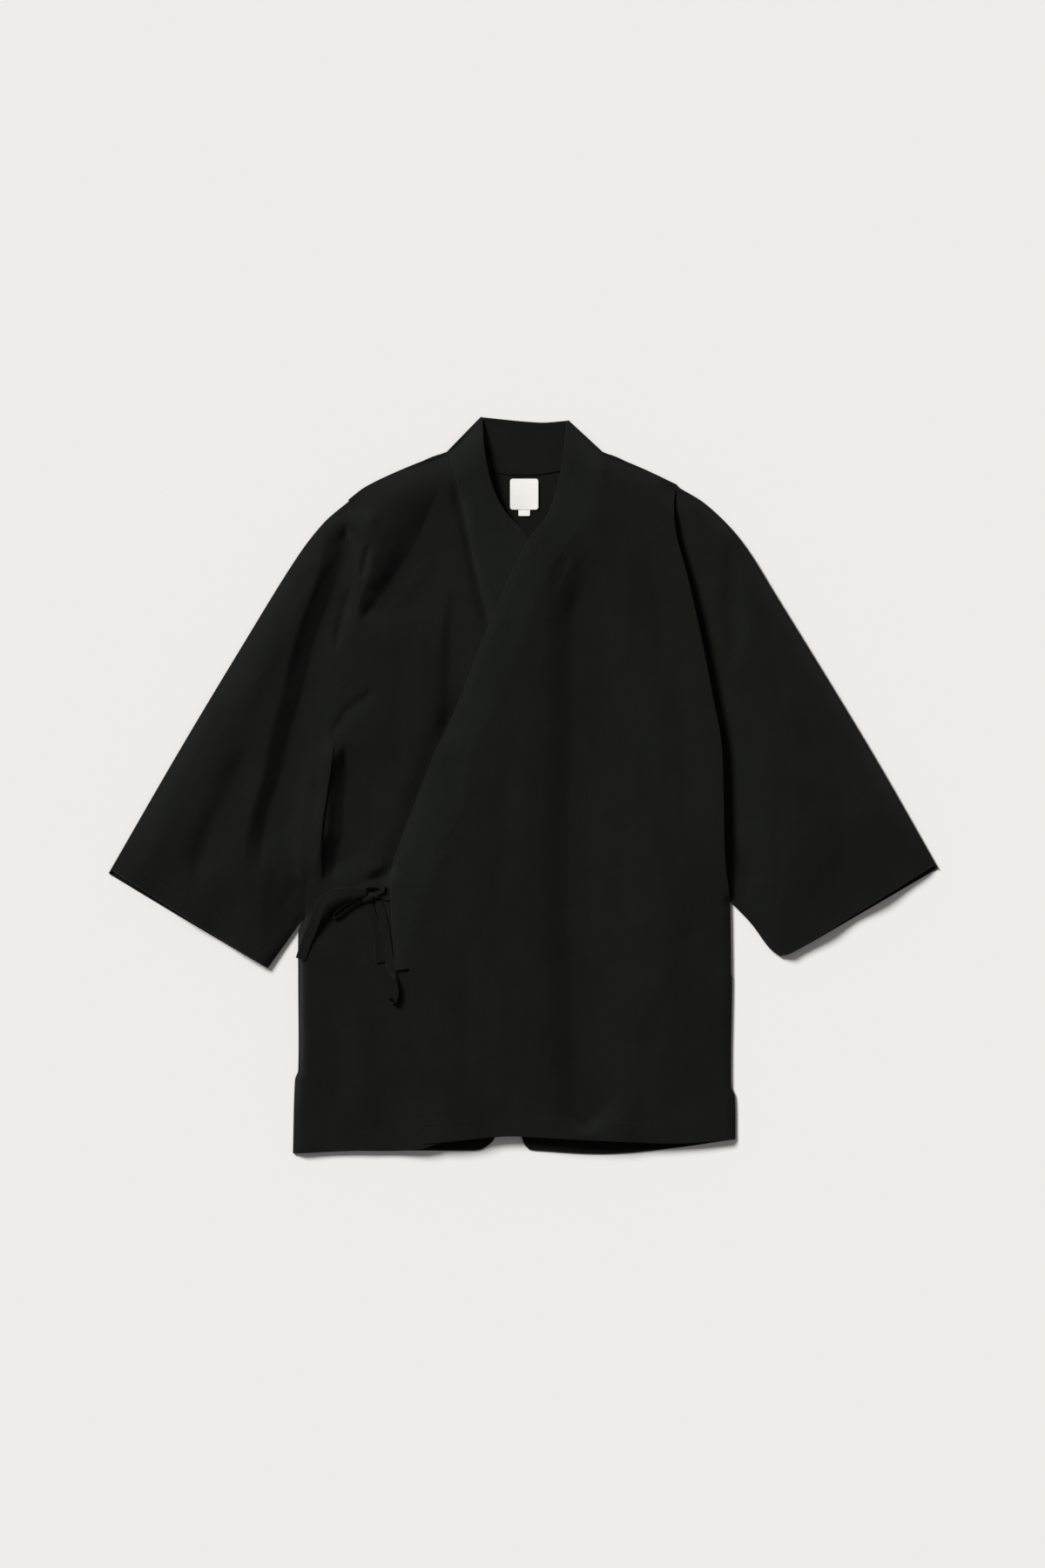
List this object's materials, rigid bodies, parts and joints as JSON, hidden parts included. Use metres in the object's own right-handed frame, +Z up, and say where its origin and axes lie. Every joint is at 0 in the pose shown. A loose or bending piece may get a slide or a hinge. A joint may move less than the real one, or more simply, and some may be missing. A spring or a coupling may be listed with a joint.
{
  "type": "samue jacket",
  "caption": "Black wrap-front work jacket with a long neckband, wide straight sleeves and side ties in a bow, laid flat on its back.",
  "frame": {"origin": "middle of the laid jacket's outline, on the surface it lies on", "axes": "+X to the wearer's left, across both sleeves; +Y from hem to collar; +Z up from the surface"},
  "size_m": [0.8949, 0.7933, 0.0264],
  "materials": {
    "black_cloth": "matte dobby cotton",
    "label_cloth": "white woven label"
  },
  "bodies": {
    "root": {"back_right": "black_cloth", "back_left": "black_cloth", "collar_back": "black_cloth", "sleeve_right": "black_cloth", "sleeve_left": "black_cloth", "front_right": "black_cloth", "collar_right": "black_cloth", "front_left": "black_cloth", "collar_left": "black_cloth", "tie_side": "black_cloth", "tie_front": "black_cloth", "label": "label_cloth", "size_tab": "label_cloth"}
  },
  "joints": []
}
